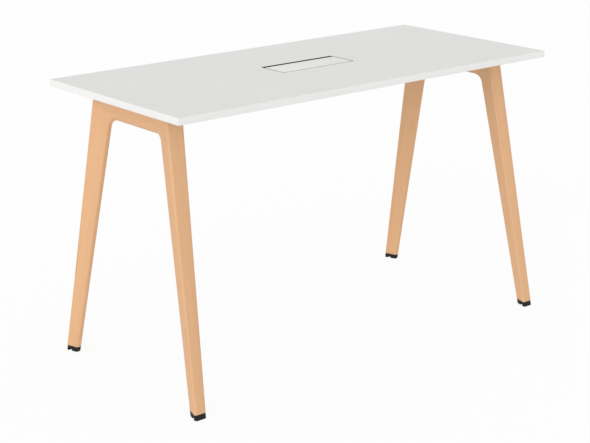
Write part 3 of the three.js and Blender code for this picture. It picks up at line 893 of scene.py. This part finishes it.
class TABLE_OT_fasteners(bpy.types.Operator):
    """Builds the screws and bolts, each with its drive recess, and finishes the pins and hidden screws"""

    bl_idname = "standing_table.fasteners"
    bl_label = "Screws and bolts"

    def execute(self, context):
        sizes = settings().fasteners
        zinc = zinc_finish("bright_zinc")
        kinds = {
            "flap_screw_": (sizes.flap_head, sizes.flap_shank, self.cross),
            "top_screw_": (sizes.top_head, sizes.screw_shank, self.cross),
            "foot_screw_": (sizes.foot_head, sizes.screw_shank, self.cross),
            "rail_bolt_": (sizes.bolt_head, sizes.bolt_shank, self.socket),
        }
        for start, (head, shank, recess) in kinds.items():
            first, *others = nodes_starting(start)
            first_low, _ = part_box(first)
            model = self.screw(first, head, shank, recess)
            for node in others:
                low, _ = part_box(node)
                twin = copied(model, Matrix.Translation(low - first_low))
                keep(twin, f"zinc_{node}", node, zinc)
            keep(model, f"zinc_{first}", first, zinc)
        paint_nodes(nodes_starting("plate_screw_", "flap_pin_"), zinc)
        return {"FINISHED"}

    @staticmethod
    def screw(node, head, shank, recess):
        """A screw that points up, with a rounded head"""
        low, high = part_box(node)
        radius = (high.x - low.x) / 2
        centre = (low + high) / 2
        piece = drum(radius, head, (centre.x, centre.y, low.z + head / 2))
        edit(piece, "FACE")
        select_where(piece, "faces", lambda face: face.normal.z > UPRIGHT)
        bpy.ops.mesh.inset(thickness=radius - shank)
        bpy.ops.mesh.extrude_region_move(
            TRANSFORM_OT_translate={"value": (0, 0, high.z - low.z - head)})
        bpy.ops.mesh.select_mode(type="EDGE")
        select_edges(piece, lambda a, b: max(a.z, b.z) < low.z + CLOSE)
        bevel(settings().fasteners.head_round * head, HEAD_SEGMENTS)
        leave_edit()
        for cutter in recess(centre, low.z, radius, head):
            cut_away(piece, cutter)
        smooth(piece)
        return piece

    @staticmethod
    def cross(centre, bottom, radius, head):
        """Cutters of a cross recess"""
        sizes = settings().fasteners
        arm = radius * sizes.recess
        thin = arm * sizes.cross_arm
        deep = head * sizes.recess
        middle = Vector((centre.x, centre.y, bottom))
        for reach in (Vector((arm, thin, deep)), Vector((thin, arm, deep))):
            yield block(middle - reach, middle + reach)

    @staticmethod
    def socket(centre, bottom, radius, head):
        """Cutter of a six-sided socket"""
        recess = settings().fasteners.recess
        yield drum(radius * recess, 2 * head * recess, (centre.x, centre.y, bottom), sides=SOCKET_SIDES)


# Studio

def combined(tree, operation, first, second):
    """Works out a value from a socket and another socket or a number"""
    node = tree.nodes.new("ShaderNodeMath")
    node.operation = operation
    tree.links.new(first, node.inputs[0])
    if isinstance(second, bpy.types.NodeSocket):
        tree.links.new(second, node.inputs[1])
    else:
        node.inputs[1].default_value = second
    return node.outputs["Value"]


def show_white(tree, lit, white, output, amount=1.0):
    """Mixes white into what the camera sees, also in mirrors and through glass, and not into what lights"""
    path = tree.nodes.new("ShaderNodeLightPath")
    seen = path.outputs["Is Camera Ray"]
    for ray in ("Is Glossy Ray", "Is Transmission Ray"):
        seen = combined(tree, "MAXIMUM", seen, path.outputs[ray])
    mix = tree.nodes.new("ShaderNodeMixShader")
    tree.links.new(combined(tree, "MULTIPLY", seen, amount), mix.inputs["Fac"])
    tree.links.new(lit.outputs[0], mix.inputs[1])
    tree.links.new(white.outputs[0], mix.inputs[2])
    tree.links.new(mix.outputs["Shader"], output.inputs["Surface"])


class TABLE_OT_stage(bpy.types.Operator):
    """Sets the camera, the light and the pale floor"""

    bl_idname = "standing_table.stage"
    bl_label = "Studio"

    def execute(self, context):
        studio = settings().studio
        self.camera(context.scene, studio)
        self.lamp("left_light", studio.left_light, studio.left_source)
        self.lamp("front_light", studio.front_light, studio.front_source)
        self.world(context.scene, studio)
        self.floor(studio)
        context.scene.view_settings.view_transform = "Standard"
        return {"FINISHED"}

    @staticmethod
    def camera(scene, studio):
        turn = (math.pi / 2 - studio.camera_tilt, 0, -studio.camera_turn)
        bpy.ops.object.camera_add(location=studio.camera_place, rotation=turn)
        camera = bpy.context.object
        camera.name = "camera"
        camera.data.sensor_width = SENSOR_WIDTH_MM
        camera.data.lens = PHOTO_FOCAL * SENSOR_WIDTH_MM / PHOTO_WIDTH
        camera.data.shift_y = (PHOTO_AXIS_ROW - PHOTO_HEIGHT / 2) / PHOTO_WIDTH
        scene.camera = camera

    @staticmethod
    def lamp(name, energy, source):
        turn = source.to_track_quat("Z", "Y").to_euler()
        bpy.ops.object.light_add(type="SUN", rotation=turn)
        lamp = bpy.context.object
        lamp.name = name
        lamp.data.energy = energy
        lamp.data.angle = settings().studio.lamp_spread

    @staticmethod
    def world(scene, studio):
        """Even light from all round, which the camera and mirrors see as plain white"""
        world = bpy.data.worlds.new("studio")
        world.use_nodes = True
        tree = world.node_tree
        tree.nodes.clear()
        light, white = [tree.nodes.new("ShaderNodeBackground") for _ in range(2)]
        for background in (light, white):
            background.inputs["Color"].default_value = (1, 1, 1, 1)
        light.inputs["Strength"].default_value = studio.sky
        show_white(tree, light, white, tree.nodes.new("ShaderNodeOutputWorld"))
        scene.world = world

    @staticmethod
    def floor(studio):
        """A wide pale floor that keeps a faint shadow"""
        deselect_all()
        bpy.ops.mesh.primitive_plane_add(size=studio.floor_size, location=(0, 0, -studio.floor_drop))
        floor = bpy.context.object
        floor.name = "floor"
        material = bpy.data.materials.new("pale_floor")
        material.use_nodes = True
        tree = material.node_tree
        tree.nodes.clear()
        matt = tree.nodes.new("ShaderNodeBsdfDiffuse")
        matt.inputs["Color"].default_value = (*studio.floor, 1)
        white = tree.nodes.new("ShaderNodeEmission")
        output = tree.nodes.new("ShaderNodeOutputMaterial")
        show_white(tree, matt, white, output, studio.floor_white)
        floor.data.materials.append(material)


# Add-on

class StandingTable(bpy.types.PropertyGroup):
    """All that a user can change"""

    frames: PointerProperty(name="Frames", type=TableFrameSizes)
    shoes: PointerProperty(name="Shoes", type=TableShoeSizes)
    top: PointerProperty(name="Top", type=TableTopSizes)
    fasteners: PointerProperty(name="Fasteners", type=TableFastenerSizes)
    finishes: PointerProperty(name="Finishes", type=TableFinishes)
    studio: PointerProperty(name="Studio", type=TableStudio)


GROUPS = (TableFrameSizes, TableShoeSizes, TableTopSizes, TableFastenerSizes, TableFinishes, TableStudio)
OPERATORS = (
    TABLE_OT_stage, TABLE_OT_frames, TABLE_OT_shoes, TABLE_OT_top, TABLE_OT_flap, TABLE_OT_steelwork,
    TABLE_OT_fasteners)


class TABLE_PT_pieces(bpy.types.Panel):
    """Lists the steps that build the table, and the sizes and colours they use"""

    bl_idname = "TABLE_PT_pieces"
    bl_label = "Standing Meeting Table"
    bl_space_type = "VIEW_3D"
    bl_region_type = "UI"
    bl_category = "Table"

    def draw(self, context):
        for operator in OPERATORS:
            self.layout.operator(operator.bl_idname)
        for group in StandingTable.__annotations__:
            values = getattr(settings(), group)
            box = self.layout.box()
            for name in type(values).__annotations__:
                box.prop(values, name)


CLASSES = (*GROUPS, StandingTable, *OPERATORS, TABLE_PT_pieces)


def register():
    for cls in CLASSES:
        bpy.utils.register_class(cls)
    bpy.types.Scene.standing_table = PointerProperty(type=StandingTable)


def unregister():
    del bpy.types.Scene.standing_table
    for cls in reversed(CLASSES):
        bpy.utils.unregister_class(cls)


def main():
    register()
    bpy.ops.standing_table.stage()
    bpy.ops.standing_table.frames()
    bpy.ops.standing_table.shoes()
    bpy.ops.standing_table.top()
    bpy.ops.standing_table.flap()
    bpy.ops.standing_table.steelwork()
    bpy.ops.standing_table.fasteners()


if __name__ == "__main__":
    main()
